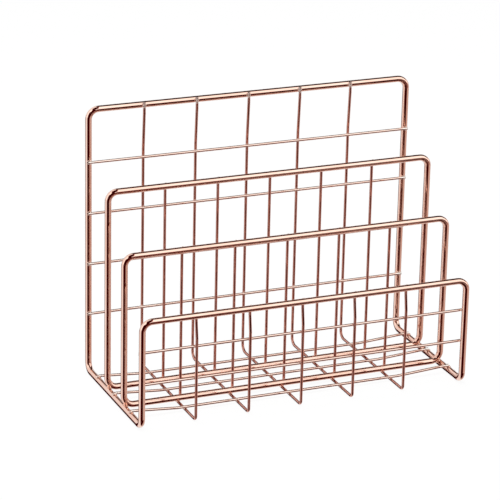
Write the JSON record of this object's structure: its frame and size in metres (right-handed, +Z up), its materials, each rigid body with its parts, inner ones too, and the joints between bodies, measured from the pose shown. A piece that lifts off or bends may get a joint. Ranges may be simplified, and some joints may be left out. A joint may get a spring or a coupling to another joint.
{
  "type": "wire file sorter",
  "caption": "Desk sorter of welded plated wire: a U-shaped mesh tray with a high back, a low front and stepped divider loops that make slots for letters and folders.",
  "frame": {"origin": "on the desk under the middle of the sorter's box", "axes": "+X to the right as seen from the front, +Y to the back panel, +Z up"},
  "size_m": [0.175, 0.08, 0.14],
  "materials": {
    "loops": "mirror rose-gold plating",
    "grid": "mirror rose-gold plating"
  },
  "bodies": {
    "root": {"frame_loop": "loops", "rear_divider_loop": "loops", "front_divider_loop": "loops", "long_wire_1": "grid", "long_wire_2": "grid", "long_wire_3": "grid", "long_wire_4": "grid", "long_wire_5": "grid", "back_cross_wire_1": "grid", "back_cross_wire_2": "grid", "back_cross_wire_3": "grid", "back_cross_wire_4": "grid", "base_cross_wire_1": "grid", "base_cross_wire_2": "grid", "base_cross_wire_3": "grid", "front_cross_wire_1": "grid", "front_cross_wire_2": "grid", "rear_divider_wire_1": "grid", "rear_divider_wire_2": "grid", "rear_divider_wire_3": "grid", "rear_divider_wire_4": "grid", "rear_divider_wire_5": "grid", "front_divider_wire_1": "grid", "front_divider_wire_2": "grid", "front_divider_wire_3": "grid", "front_divider_wire_4": "grid", "front_divider_wire_5": "grid"}
  },
  "joints": []
}
